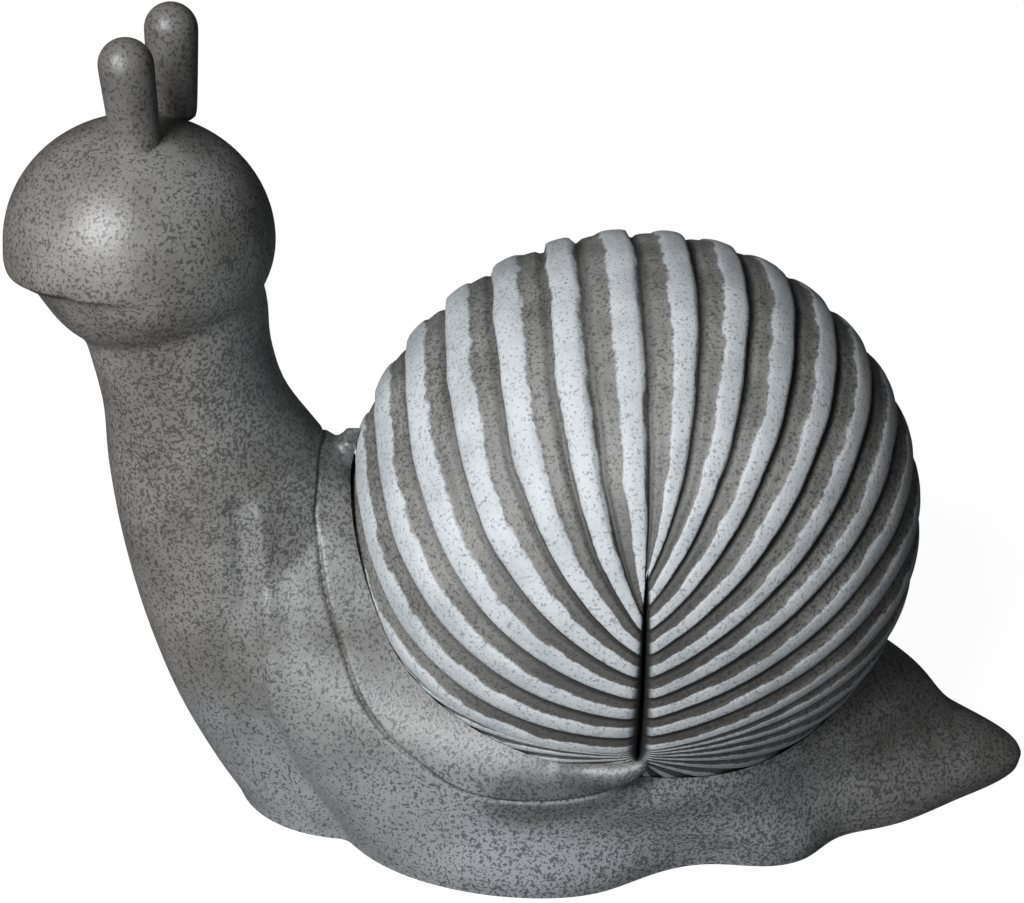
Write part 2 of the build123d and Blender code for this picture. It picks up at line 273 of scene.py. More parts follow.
def buildShell():
    f = shellForm
    count = f["ribs"] * f["pointsPerRib"]
    rib = (np.arange(count) / f["pointsPerRib"] - f["ribs"] / 2)[None, :]
    run = np.linspace(1, 0, f["rowsPerFlank"])[:, None]
    x, z = ribLine(rib, run)
    breadth = f["halfBreadth"] * np.sqrt(np.maximum(0, 1 - (x**2 + z**2) / f["radius"] ** 2))
    near = np.stack([x, -breadth, z], -1)
    skin = np.concatenate([near, near[-2::-1] * (1, -1, 1)])
    run = np.concatenate([run, run[-2::-1]])
    marked = rib + ribWander(rib, run)
    height = np.interp(ribAcross(marked), *zip(*ribProfile))
    width = np.linalg.norm(np.roll(skin, -1, 1) - skin, axis=2) * f["pointsPerRib"]
    flatter = 1 - f["slitFlattening"] * smoothStep(run, f["flattenFrom"], 1.0)
    relief = np.minimum(f["relief"], f["reliefShare"] * width) * flatter
    atLip = smoothStep(run, f["lipFrom"], 1.0)
    raised = (height - 1) * relief - f["slitDepth"] * f["lipShare"] * atLip
    skin = skin + shellNormal(skin) * raised[..., None]
    rows = list(skin)
    for inward in f["slitWalls"]:
        shrink = np.array([1 - f["slitNarrowing"] * inward, 1, 1])
        offset = np.array([f["slitX"] * f["slitNarrowing"] * inward, 0, 0])
        rows.insert(0, skin[0] * shrink + offset + (0, f["slitDepth"] * inward, 0))
        rows.append(skin[-1] * shrink + offset - (0, f["slitDepth"] * inward, 0))
    shell = bridgedLoops("shellRibs", np.array(rows) + np.array([0, 0, f["height"]]))
    extra = ((len(f["slitWalls"]),) * 2, (0, 0))
    # painted shade near the slit and along its lip, for the shell's finish
    slitShadowMask = np.repeat(0.5 * smoothStep(run, f["shadeFrom"], 1.0) + 0.5 * atLip, count, 1)
    storeValue(shell, "rib", np.pad(marked, extra, mode="edge").ravel())
    storeValue(shell, "slit", np.pad(slitShadowMask, extra, mode="edge").ravel())
    smoothFaces(shell)
    return shell


# Body: foot with skirt and mantle, neck, head and the collar round the shell's opening, in millimetres.
# Edges are points of one flank from the front to the back: place along, half width.
footEdge = (
    (-128, 0), (-121, 38), (-106, 60), (-78, 78), (-45, 86), (-14, 83), (8, 72), (30, 67), (54, 69),
    (69, 64), (82, 52), (103, 45), (137, 27), (158, 14), (168, 0),
)
skirtEdge = (
    (-148, 0), (-144, 36), (-134, 55), (-112, 66), (-82, 77), (-54, 84), (-28, 89), (0, 88), (20, 79),
    (38, 68), (56, 58), (75, 46), (93, 30), (104, 14), (108, 0),
)
mantleLevels = (   # height, front, back, half width
    (88, -162, 2, 55), (112, -161, -62, 45), (132, -156, -98, 32), (148, -153, -110, 18),
    (160, -152, -118, 8),
)
neckLevels = (   # height, front, back, half width
    (-8, -160, -60, 46), (0, -162, -60, 46), (20, -172, -70, 46), (47, -184, -80, 45), (77, -193, -90, 44),
    (119, -201, -100, 41), (155, -204, -118, 37), (180, -204, -134, 35), (200, -207, -139, 36),
    (220, -211, -140, 38), (240, -211, -148, 36),
)
bodyForm = {   # the voxel of the remeshed skin is in metres
    "skirtHeight": 56, "footRoll": 5, "footTuck": 1.5, "buriedTuck": 3, "buried": -8, "bluntness": 4.0,
    "headX": -185, "headZ": 243, "headRadius": 50, "crown": 46.5, "chin": 40, "headTurn": 16,
    "headSegments": 64, "headRings": 40, "loopPoints": 160, "rowsBetween": 7,
    "voxel": 0.0019, "smoothFactor": 0.5, "smoothRounds": 10,
    "seatGap": 0.4, "seatSegments": 96, "seatRings": 64,
    "pocketHeight": 7.0, "pocketFoot": -20, "pocketRim": 7.5, "smoothAngle": 50,
}
collarEdge = (   # where the shell's edge shows: half width, height over the shell's centre, width of the band
    (0, 40, 8), (4, 26, 8.5), (8, 13, 9), (17, 2, 9.5), (26, -8, 10), (33, -22, 11), (38, -40, 13),
    (43, -57, 15), (50, -66, 17), (59, -69, 18), (69, -67, 18), (80, -62, 17), (88, -57, 14), (92, -54, 8),
    (94.5, -52, 4),
)
collarForm = {   # in metres
    "reach": 0.008, "reachShare": 0.55, "thickness": 0.0075, "thicknessShare": 0.8, "squareness": 0.8,
    "points": 121, "ringPoints": 24, "lineWidth": 0.0008, "lineDepth": 0.0011, "refineReach": 0.005,
    "shadeHeight": 0.008, "shadeFull": 0.011, "shadeGone": 0.019,
}
creaseLine = (   # dark line where the collar folds out of the neck and the skirt, carved in and darkened with painted shade
    (-120, 3, 160), (-121, -9, 159), (-122, -19, 151), (-123, -26, 142), (-122, -34, 130), (-119, -45, 112),
    (-114, -51, 96), (-106, -62, 77), (-96, -70, 66), (-83, -76, 57), (-68, -81, 49), (-44, -86, 47),
    (-27, -89, 50), (-13, -91, 56), (-4, -94, 63), (1, -96, 68),
)
foldLine = (   # rounded front edge of the skirt, from the neck's flank to the ground
    (-144, -38, 146), (-143, -40, 138), (-143, -43, 124), (-143, -48, 104), (-142, -52, 89), (-140, -54, 66),
    (-137, -51, 39), (-133, -49, 24), (-128, -47, 13), (-121, -46, 0),
)
foldForm = {   # in metres
    "ridge": 0.0026, "ridgeWidth": 0.0045, "trough": 0.0030, "troughWidth": 0.0050, "shift": 0.0075,
    "points": 41, "footGone": -0.002, "footFull": 0.02,
}
mouthForm = {   # heights and depths in millimetres, angles in degrees from the middle of the mouth
    "below": 10, "cornerRise": 7, "cornerPower": 1.5, "halfAngle": 87, "fade": 12, "width": 1.2, "depth": 2.2,
    "lip": 0.6, "lipHeight": 4.5, "recess": 6.5, "recessStep": 3, "recessFull": 8, "recessFoot": 38,
    "recessBefore": 15, "recessFade": 32, "reachGone": 22, "reachFull": 32,
    "refineAngle": 8, "refineHeight": 7, "refineReach": 35,
    "lineReach": 30, "lineFade": 12, "lineEnd": 2, "lineShade": 0.8,
}


def blendEdges(first, second, share):
    a, b = np.array(first, float), np.array(second, float)
    return a + (b - a) * share


def insetEdge(edge, distance):
    e = np.array(edge, float)
    before = np.vstack([[e[1, 0], -e[1, 1]], e[:-1]])
    after = np.vstack([e[1:], [e[-2, 0], -e[-2, 1]]])
    along = after - before
    along /= np.linalg.norm(along, axis=1)[:, None]
    moved = e + np.stack([along[:, 1], -along[:, 0]], -1) * distance
    moved[[0, -1], 1] = 0
    return moved


def mantleEdge(front, back, halfWidth):
    e = np.array(skirtEdge, float)
    share = (e[:, 0] - e[0, 0]) / (e[-1, 0] - e[0, 0])
    full = (1 - np.abs(2 * share - 1) ** bodyForm["bluntness"]) ** (1 / bodyForm["bluntness"])
    return np.stack([front + share * (back - front), halfWidth * full], -1)


def wholeLoop(edge, height):
    e = np.array(edge, float)
    loop = np.vstack([e, e[-2:0:-1] * (1, -1)])
    flat = closedCurve(loop, bodyForm["loopPoints"])
    return np.column_stack([flat, np.full(len(flat), height)]) * mm


def stackedLoops(levels):
    # loops between the given ones, so that the skin runs smoothly from level to level
    levels = np.array(levels)
    heights = levels[:, 0, 2]
    slope = np.gradient(levels, heights, axis=0)
    rows = []
    for k in range(len(levels) - 1):
        length = heights[k + 1] - heights[k]
        for t in np.arange(bodyForm["rowsBetween"]) / bodyForm["rowsBetween"]:
            rows.append(easedStretch(t, length, levels[k], levels[k + 1], slope[k], slope[k + 1]))
    rows.append(levels[-1])
    return np.array(rows)


def buildFoot():
    f = bodyForm
    levels = [
        wholeLoop(insetEdge(footEdge, f["buriedTuck"]), f["buried"]),
        wholeLoop(insetEdge(footEdge, f["footTuck"]), 0),
        wholeLoop(footEdge, f["footRoll"]),
        wholeLoop(blendEdges(footEdge, skirtEdge, 0.5), f["skirtHeight"] / 2),
        wholeLoop(skirtEdge, f["skirtHeight"]),
    ]
    for height, front, back, halfWidth in mantleLevels:
        levels.append(wholeLoop(mantleEdge(front, back, halfWidth), height))
    return bridgedLoops("foot", stackedLoops(levels))


def buildNeck():
    levels = []
    turn = np.linspace(0, 2 * math.pi, bodyForm["loopPoints"], endpoint=False)
    for height, front, back, halfWidth in neckLevels:
        x = (front + back) / 2 - (back - front) / 2 * np.cos(turn)
        levels.append(np.column_stack([x, halfWidth * np.sin(turn), np.full(len(turn), height)]) * mm)
    return bridgedLoops("neck", stackedLoops(levels))


def buildHead():
    f = bodyForm
    head = unitBall("head", f["headSegments"], f["headRings"])
    co = readVertices(head)
    height = np.where(co[:, 2] > 0, f["crown"], f["chin"])
    co = np.column_stack([co[:, :2] * f["headRadius"], co[:, 2] * height]) + (f["headX"], 0, f["headZ"])
    setVertices(head, co * mm)
    return head


def collarCurves():
    # the shell's edge from flank to flank, its normal, the direction away from the shell, the band's width
    right = [(shellFront(y * mm, up * mm) / mm, -y, up, width) for y, up, width in collarEdge]
    left = [(x, -y, up, width) for x, y, up, width in right[:0:-1]]
    whole = openCurve(left + right, collarForm["points"])
    points = whole[:, :3] * mm
    normal = shellNormal(points)
    away = np.cross(np.gradient(points, axis=0), normal)
    away /= np.linalg.norm(away, axis=1)[:, None]
    if away[len(away) // 2, 2] > 0:
        away = -away
    return points, normal, away, whole[:, 3] * mm


def buildCollar():
    f = collarForm
    turn = np.linspace(0, 2 * math.pi, f["ringPoints"], endpoint=False)
    acrossShape = np.sign(np.cos(turn)) * np.abs(np.cos(turn)) ** f["squareness"]
    overShape = np.sign(np.sin(turn)) * np.abs(np.sin(turn)) ** f["squareness"]
    loops = []
    for point, normal, away, width in zip(*collarCurves()):
        half = min(f["reach"], f["reachShare"] * width)
        thick = min(f["thickness"], f["thicknessShare"] * width)
        ring = np.outer(acrossShape * half + half, away) + np.outer(overShape * thick, normal)
        loops.append(point + ring + (0, 0, shellForm["height"]))
    return bridgedLoops("collar", np.array(loops))


def creaseDistance(co):
    half = openCurve(np.array(creaseLine, float) * mm, collarForm["points"])
    return np.minimum(distanceTo(co, half), distanceTo(co, half * (1, -1, 1)))


def carveFold(body):
    f = foldForm
    co = readVertices(body)
    line = openCurve(np.array(foldLine, float) * mm, f["points"])
    ahead = line - (f["shift"], 0, 0)
    ridge = np.zeros(len(co))
    trough = np.zeros(len(co))
    for side in (1, -1):
        ridge += bell(distanceTo(co, line * (1, side, 1)), f["ridgeWidth"])
        trough += bell(distanceTo(co, ahead * (1, side, 1)), f["troughWidth"])
    moved = (f["ridge"] * ridge - f["trough"] * trough) * smoothStep(co[:, 2], f["footGone"], f["footFull"])
    setVertices(body, co + readVertices(body, "normal") * moved[:, None])


def carveCrease(body):
    f = collarForm
    refineWhere(body, creaseDistance(readVertices(body)) < f["refineReach"])
    co = readVertices(body)
    depth = f["lineDepth"] * bell(creaseDistance(co), f["lineWidth"])
    setVertices(body, co - readVertices(body, "normal") * depth[:, None])


def mouthPlace(co):
    # angle from the middle of the mouth, height over the line between the lips, reach from the head's axis
    f = bodyForm
    local = co / mm - (f["headX"], 0, f["headZ"])
    turn = math.radians(180 - f["headTurn"])
    along = local[:, 0] * math.cos(turn) + local[:, 1] * math.sin(turn)
    aside = -local[:, 0] * math.sin(turn) + local[:, 1] * math.cos(turn)
    angle = np.degrees(np.arctan2(aside, along))
    corner = np.minimum(np.abs(angle) / mouthForm["halfAngle"], 1)
    rise = mouthForm["cornerRise"] * corner ** mouthForm["cornerPower"]
    return angle, local[:, 2] + mouthForm["below"] - rise, np.hypot(along, aside), local


def carveMouth(body):
    f = mouthForm
    angle, up, reach, local = mouthPlace(readVertices(body))
    chosen = (np.abs(angle) < f["halfAngle"] + f["refineAngle"]) & (np.abs(up) < f["refineHeight"])
    refineWhere(body, chosen & (reach > f["refineReach"]))
    angle, up, reach, local = mouthPlace(readVertices(body))
    outer = smoothStep(reach, f["reachGone"], f["reachFull"])
    shown = (1 - smoothStep(np.abs(angle), f["halfAngle"] - f["fade"], f["halfAngle"])) * outer
    groove = f["depth"] * bell(up, f["width"])
    lip = f["lip"] * bell(up - f["lipHeight"], f["lipHeight"]) * (up > 0)
    recess = f["recess"] * smoothStep(-up, 0, f["recessStep"])
    recess = recess * (1 - smoothStep(-up, f["recessFull"], f["recessFoot"]))
    wideFrom, wideTo = f["halfAngle"] - f["recessBefore"], f["halfAngle"] + f["recessFade"]
    wide = (1 - smoothStep(np.abs(angle), wideFrom, wideTo)) * outer
    outward = np.column_stack([local[:, :2] / np.maximum(reach, 1)[:, None], np.zeros(len(local))])
    moved = (shown * (lip - groove) - wide * recess) * mm
    setVertices(body, readVertices(body) + outward * moved[:, None])


def cutSeat(body):
    # the rounded seat that the shell sits in
    f = bodyForm
    seat = unitBall("seat", f["seatSegments"], f["seatRings"])
    radius, breadth = shellForm["radius"] + f["seatGap"] * mm, shellForm["halfBreadth"] + f["seatGap"] * mm
    setVertices(seat, readVertices(seat) * (radius, breadth, radius) + (0, 0, shellForm["height"]))
    cutWith(body, seat)


def cutPocket(body):
    # the pocket under the foot that the base plate fills
    f = bodyForm
    edge = insetEdge(footEdge, f["pocketRim"])
    loops = [wholeLoop(edge, f["pocketFoot"]), wholeLoop(edge, f["pocketHeight"])]
    cutWith(body, bridgedLoops("pocket", loops))


def cutFlatFoot(body):
    makeActive(body)
    bpy.ops.object.mode_set(mode="EDIT")
    bpy.ops.mesh.select_all(action="SELECT")
    bpy.ops.mesh.bisect(plane_co=(0, 0, 0), plane_no=(0, 0, 1), clear_inner=True, use_fill=True)
    bpy.ops.object.mode_set(mode="OBJECT")


def markBody(body):
    # painted shade on the body: darker in the crease and the mouth line, and beside the shell's edge
    f, m = collarForm, mouthForm
    co = readVertices(body)
    line = bell(creaseDistance(co), f["lineWidth"])
    angle, up, reach, local = mouthPlace(co)
    mouthLineShade = bell(up, m["width"]) * (reach > m["lineReach"])
    ends = smoothStep(np.abs(angle), m["halfAngle"] - m["lineFade"], m["halfAngle"] - m["lineEnd"])
    storeValue(body, "creaseShade", np.maximum(line, m["lineShade"] * mouthLineShade * (1 - ends)))
    # painted shade on the collar's band beside the shell's edge
    edge, normal, away, width = collarCurves()
    middle = edge + away * 0.5 * width[:, None] + f["shadeHeight"] * normal + (0, 0, shellForm["height"])
    storeValue(body, "shellEdgeShade", 1 - smoothStep(distanceTo(co, middle), f["shadeFull"], f["shadeGone"]))


def buildBody():
    f = bodyForm
    pieces = [buildFoot(), buildNeck(), buildHead(), buildCollar()]
    makeActive(pieces[0])
    for o in pieces:
        o.select_set(True)
    bpy.ops.object.join()
    body = bpy.context.active_object
    body.name = "snailBody"
    applyModifier(body, "REMESH", mode="VOXEL", voxel_size=f["voxel"])
    applyModifier(body, "SMOOTH", factor=f["smoothFactor"], iterations=f["smoothRounds"])
    print("body skin", len(body.data.polygons))
    carveFold(body)
    carveCrease(body)
    carveMouth(body)
    cutSeat(body)
    cutPocket(body)
    cutFlatFoot(body)
    smoothFaces(body)
    makeActive(body)
    bpy.ops.object.shade_smooth_by_angle(angle=math.radians(f["smoothAngle"]))
    markBody(body)
    return body


# Eye stalks: round rods with a domed end that lean apart on the crown, in millimetres, the weld in metres
stalkForm = {
    "spacing": 35.4, "back": 8, "shift": 5, "splay": 6, "socket": 41.5, "length": 41, "footRadius": 8.6,
    "topRadius": 9.9, "footRound": 0.8, "footSunk": 2.5, "swellShares": (0.15, 0.3, 0.5, 0.7, 0.85, 1.0),
    "swellPower": 0.8, "domeStep": 8, "steps": 48, "weld": 0.00001,
}


def stalkProfile():
    f = stalkForm
    shoulder = f["length"] - f["topRadius"]
    profile = [(0, -f["footSunk"]), (f["footRadius"] - f["footRound"], -f["footSunk"]), (f["footRadius"], 0)]
    for share in f["swellShares"]:
        radius = f["footRadius"] + (f["topRadius"] - f["footRadius"]) * share ** f["swellPower"]
        profile.append((radius, shoulder * share))
    for degrees in range(f["domeStep"], 90, f["domeStep"]):
        turn = math.radians(degrees)
        profile.append((f["topRadius"] * math.cos(turn), shoulder + f["topRadius"] * math.sin(turn)))
    profile.append((0, f["length"]))
    return profile


def buildStalk(name, side):
    f = stalkForm
    mesh = bpy.data.meshes.new(name)
    bm = bmesh.new()
    edge = [bm.verts.new((r * mm, 0, z * mm)) for r, z in stalkProfile()]
    for a, b in zip(edge[:-1], edge[1:]):
        bm.edges.new((a, b))
    bm.to_mesh(mesh)
    bm.free()
    stalk = newObject(name, mesh)
    makeActive(stalk)
    bpy.ops.object.mode_set(mode="EDIT")
    bpy.ops.mesh.select_all(action="SELECT")
    bpy.ops.mesh.spin(steps=f["steps"], angle=2 * math.pi, center=(0, 0, 0), axis=(0, 0, 1))
    bpy.ops.mesh.select_all(action="SELECT")
    bpy.ops.mesh.remove_doubles(threshold=f["weld"])
    bpy.ops.mesh.normals_make_consistent(inside=False)
    bpy.ops.object.mode_set(mode="OBJECT")
    applyModifier(stalk, "SUBSURF", levels=1, render_levels=1)
    middle = Vector((bodyForm["headX"] + f["back"], f["shift"], bodyForm["headZ"] + f["socket"])) * mm
    turn = Matrix.Rotation(-math.radians(bodyForm["headTurn"]), 4, "Z")
    lean = Matrix.Rotation(-side * math.radians(f["splay"]), 4, "X")
    aside = Matrix.Translation((0, side * f["spacing"] / 2 * mm, 0))
    stalk.data.transform(Matrix.Translation(middle) @ turn @ aside @ lean)
    smoothFaces(stalk)
    for mark in ("creaseShade", "shellEdgeShade"):
        storeValue(stalk, mark, np.zeros(len(stalk.data.vertices)))
    return stalk


# Helpers for materials
class Shader:
    def __init__(self, tree):
        self.tree = tree

    def node(self, kind, inputs=None, **settings):
        n = self.tree.nodes.new(kind)
        for key, value in settings.items():
            setattr(n, key, value)
        for key, value in (inputs or {}).items():
            self.feed(n.inputs[key], value)
        return n

    def feed(self, socket, value):
        if isinstance(value, bpy.types.NodeSocket):
            self.tree.links.new(value, socket)
        else:
            socket.default_value = value

    def math(self, operation, a, b=0.0):
        return self.node("ShaderNodeMath", {0: a, 1: b}, operation=operation).outputs[0]

    def times(self, a, b):
        return self.math("MULTIPLY", a, b)

    def noise(self, at, scale, detail, rough):
        inputs = {"Vector": at, "Scale": scale, "Detail": detail, "Roughness": rough}
        return self.node("ShaderNodeTexNoise", inputs).outputs[0]

    def span(self, value, low, high, toLow=0.0, toHigh=1.0):
        inputs = {"Value": value, "From Min": low, "From Max": high, "To Min": toLow, "To Max": toHigh}
        return self.node("ShaderNodeMapRange", inputs, interpolation_type="SMOOTHSTEP").outputs[0]

    def mixValue(self, factor, a, b):
        return self.node("ShaderNodeMix", {0: factor, 2: a, 3: b}, data_type="FLOAT").outputs[0]

    def mix(self, factor, a, b):
        return self.node("ShaderNodeMix", {0: factor, 6: a, 7: b}, data_type="RGBA").outputs[2]

    def attribute(self, name):
        return self.node("ShaderNodeAttribute", attribute_name=name).outputs["Fac"]

    def bump(self, height, strength, distance):
        inputs = {"Height": height, "Strength": strength, "Distance": distance}
        return self.node("ShaderNodeBump", inputs).outputs[0]


def colour(rgb):
    return (*rgb, 1.0)


def newMaterial(name):
    m = bpy.data.materials.new(name)
    m.use_nodes = True
    m.node_tree.nodes.clear()
    s = Shader(m.node_tree)
    principled = s.node("ShaderNodeBsdfPrincipled")
    s.node("ShaderNodeOutputMaterial", {"Surface": principled.outputs[0]})
    return m, s, principled


def setMaterial(o, m):
    o.data.materials.clear()
    o.data.materials.append(m)


# Grain of both stone finishes: noises are scale, detail and roughness
grainForm = {
    "fine": (820.0, 2.0, 0.6), "coarse": (480.0, 3.0, 0.62),
    "mottle": (34.0, 5.0, 0.62), "drift": (7.0, 2.0, 0.5),
    "thicker": (0.35, 0.65, -0.02, 0.03), "denseFine": (0.535, 0.60), "denseCoarse": (0.575, 0.63),
    "sparseFine": (0.595, 0.65), "sparseCoarse": (0.63, 0.67), "fineHeight": 0.6, "mottleHeight": 0.8,
}


def grainGroup():
    # specks and clouds of a stone finish: masks from 0 to 1 and a height
    f = grainForm
    g = bpy.data.node_groups.new("stoneGrain", "ShaderNodeTree")
    g.interface.new_socket("Coordinates", in_out="INPUT", socket_type="NodeSocketVector")
    for name in ("Dense specks", "Sparse specks", "Mottle", "Drift", "Height"):
        g.interface.new_socket(name, in_out="OUTPUT", socket_type="NodeSocketFloat")
    s = Shader(g)
    at = s.node("NodeGroupInput").outputs[0]
    fine = s.noise(at, *f["fine"])
    coarse = s.noise(at, *f["coarse"])
    mottle = s.noise(at, *f["mottle"])
    drift = s.noise(at, *f["drift"])
    thicker = s.span(drift, *f["thicker"])
    denseFine = s.span(s.math("ADD", fine, thicker), *f["denseFine"])
    denseCoarse = s.span(s.math("ADD", coarse, thicker), *f["denseCoarse"])
    dense = s.math("MAXIMUM", denseFine, denseCoarse)
    sparse = s.math("MAXIMUM", s.span(fine, *f["sparseFine"]), s.span(coarse, *f["sparseCoarse"]))
    height = s.math("ADD", s.times(fine, f["fineHeight"]), s.times(mottle, f["mottleHeight"]))
    s.node("NodeGroupOutput", dict(enumerate((dense, sparse, mottle, drift, height))))
    return g


def grainOf(s, grain):
    at = s.node("ShaderNodeTexCoord").outputs["Object"]
    return at, s.node("ShaderNodeGroup", {"Coordinates": at}, node_tree=grain).outputs


# Speckled stone of the body and the stalks: browner in front, a painted sheen paler low on the skirt, darker
# on the crown, and painted shade in the creases and beside the shell's edge
stoneForm = {
    "dark": (0.145, 0.141, 0.134), "light": (0.235, 0.231, 0.224), "clouds": (0.32, 0.68),
    "front": (0.190, 0.152, 0.128), "frontX": (-0.15, -0.20), "frontDrift": (0.35, 0.65, 0.15, 0.6),
    # skirt is a painted sheen, paler low on the skirt's front
    "skirt": (0.36, 0.37, 0.39), "skirtZ": (0.075, 0.035), "skirtX": (0.10, 0.0),
    # collar is painted shade on the band beside the shell's edge
    "skirtDrift": (0.35, 0.6, 0.35, 0.85), "collar": (0.082, 0.081, 0.080), "collarShadeShare": 0.75,
    "crown": (0.060, 0.056, 0.052), "crownZ": (0.270, 0.305, 0.0, 0.42),
    # line is painted shade in the crease and the mouth line
    "speck": (0.026, 0.026, 0.027), "speckShare": 0.74, "line": (0.008, 0.008, 0.008), "creaseShadeShare": 0.9,
    "rough": (0.3, 0.7, 0.34, 0.48), "speckRough": 0.10, "bump": 0.3, "bumpDepth": 0.0009,
    "coat": 0.30, "coatRough": 0.36,
}


def speckledStone(grain):
    f = stoneForm
    m, s, p = newMaterial("speckledStone")
    at, g = grainOf(s, grain)
    place = s.node("ShaderNodeSeparateXYZ", {0: at}).outputs
    base = s.mix(s.span(g["Mottle"], *f["clouds"]), colour(f["dark"]), colour(f["light"]))
    front = s.times(s.span(place[0], *f["frontX"]), s.span(g["Drift"], *f["frontDrift"]))
    base = s.mix(front, base, colour(f["front"]))
    # painted sheen: paler low on the front of the skirt
    skirt = s.times(s.span(place[2], *f["skirtZ"]), s.span(place[0], *f["skirtX"]))
    skirt = s.times(skirt, s.span(g["Drift"], *f["skirtDrift"]))
    base = s.mix(skirt, base, colour(f["skirt"]))
    # painted shade: darker on the collar's band beside the shell's edge
    base = s.mix(s.times(s.attribute("shellEdgeShade"), f["collarShadeShare"]), base, colour(f["collar"]))
    base = s.mix(s.span(place[2], *f["crownZ"]), base, colour(f["crown"]))
    base = s.mix(s.times(g["Dense specks"], f["speckShare"]), base, colour(f["speck"]))
    # painted shade: darker in the crease by the collar and in the mouth line
    base = s.mix(s.times(s.attribute("creaseShade"), f["creaseShadeShare"]), base, colour(f["line"]))
    s.feed(p.inputs["Base Color"], base)
    rough = s.span(g["Mottle"], *f["rough"])
    s.feed(p.inputs["Roughness"], s.math("ADD", rough, s.times(g["Dense specks"], f["speckRough"])))
    s.feed(p.inputs["Normal"], s.bump(g["Height"], f["bump"], f["bumpDepth"]))
    p.inputs["Coat Weight"].default_value = f["coat"]
    p.inputs["Coat Roughness"].default_value = f["coatRough"]
    return m


# Banded stone of the shell: a pale band along each rib, grey beside it, painted shade in the groove on its
# steep side that is stronger away from the key light, and painted shade at the slit
bandForm = {
    "greyDark": (0.150, 0.146, 0.138), "greyLight": (0.240, 0.234, 0.222), "greyClouds": (0.32, 0.68),
    "greySpeck": (0.035, 0.034, 0.034), "greySpeckShare": 0.7,
    # the first two entries are painted shade near the slit
    "slit": (0.040, 0.038, 0.036), "slitShade": (0.0, 0.5, 0.0, 0.75),
    "paleDark": (0.395, 0.418, 0.432), "paleLight": (0.525, 0.545, 0.558), "paleClouds": (0.3, 0.65),
    "paleSpeck": (0.16, 0.17, 0.20), "paleSpeckShare": 0.16,
    "bigSpeck": (0.09, 0.095, 0.12), "bigSpeckShare": 0.50,
    "wave": (85.0, 4.0, 0.65), "waveReach": (0.3, 0.7, -0.045, 0.045), "carvedWave": 0.35,
    "halfBand": (-6.0, 6.0, 0.265, 0.225), "bandIn": (-0.03, 0.03), "bandOut": (-0.03, 0.03, 1.0, 0.0),
    # groove is painted shade in the groove; grooveShade makes it stronger towards the tail, away from the key
    # light
    "groove": (0.014, 0.013, 0.0125), "grooveIn": (0.23, 0.27), "grooveOut": (0.38, 0.50, 1.0, 0.0),
    "grooveShade": (-2.0, 5.0, 0.45, 0.82), "slitGroove": 0.9, "grooveMost": 0.95, "slitDark": (0.55, 0.95),
    "rough": (0.3, 0.7, 0.50, 0.66), "bandHeight": 0.5, "bump": 0.4, "bumpDepth": 0.0009,
    "coat": 0.05, "coatRough": 0.4,
}


def placeAcrossRib(s, rib):
    # the place across a rib, as ribAcross gives it for the shape
    whole = s.math("ROUND", rib)
    fromMiddle = s.math("SUBTRACT", whole, float(shellForm["middleRib"]))
    side = s.math("SUBTRACT", s.times(s.math("GREATER_THAN", fromMiddle, -0.5), 2.0), 1.0)
    signed = s.times(s.math("SUBTRACT", rib, whole), side)
    atMiddle = s.math("LESS_THAN", s.math("ABSOLUTE", fromMiddle), 0.5)
    return s.mixValue(atMiddle, signed, s.math("ABSOLUTE", signed))


def bandedStone(grain):
    f = bandForm
    m, s, p = newMaterial("bandedStone")
    at, g = grainOf(s, grain)
    rib = s.attribute("rib")
    slit = s.attribute("slit")
    across = placeAcrossRib(s, rib)
    wave = s.span(s.noise(at, *f["wave"]), *f["waveReach"])
    painted = s.math("ADD", across, wave)
    half = s.span(rib, *f["halfBand"])
    inside = s.span(s.math("ADD", painted, half), *f["bandIn"])
    pale = s.times(inside, s.span(s.math("SUBTRACT", painted, half), *f["bandOut"]))
    carved = s.math("ADD", across, s.times(wave, f["carvedWave"]))
    # painted shade in the groove, stronger towards the tail away from the key light and near the slit
    groove = s.times(s.span(carved, *f["grooveIn"]), s.span(carved, *f["grooveOut"]))
    shade = s.math("ADD", s.span(rib, *f["grooveShade"]), s.times(slit, f["slitGroove"]))
    groove = s.times(groove, s.math("MINIMUM", shade, f["grooveMost"]))
    groove = s.math("MAXIMUM", groove, s.span(slit, *f["slitDark"]))
    grey = s.mix(s.span(g["Mottle"], *f["greyClouds"]), colour(f["greyDark"]), colour(f["greyLight"]))
    grey = s.mix(s.times(g["Dense specks"], f["greySpeckShare"]), grey, colour(f["greySpeck"]))
    # painted shade: the grey darkened near the slit
    grey = s.mix(s.span(slit, *f["slitShade"]), grey, colour(f["slit"]))
    light = s.mix(s.span(g["Mottle"], *f["paleClouds"]), colour(f["paleDark"]), colour(f["paleLight"]))
    light = s.mix(s.times(g["Dense specks"], f["paleSpeckShare"]), light, colour(f["paleSpeck"]))
    light = s.mix(s.times(g["Sparse specks"], f["bigSpeckShare"]), light, colour(f["bigSpeck"]))
    base = s.mix(groove, s.mix(pale, grey, light), colour(f["groove"]))
    s.feed(p.inputs["Base Color"], base)
    s.feed(p.inputs["Roughness"], s.span(g["Mottle"], *f["rough"]))
    height = s.math("ADD", g["Height"], s.times(pale, f["bandHeight"]))
    s.feed(p.inputs["Normal"], s.bump(height, f["bump"], f["bumpDepth"]))
    p.inputs["Coat Weight"].default_value = f["coat"]
    p.inputs["Coat Roughness"].default_value = f["coatRough"]
    return m


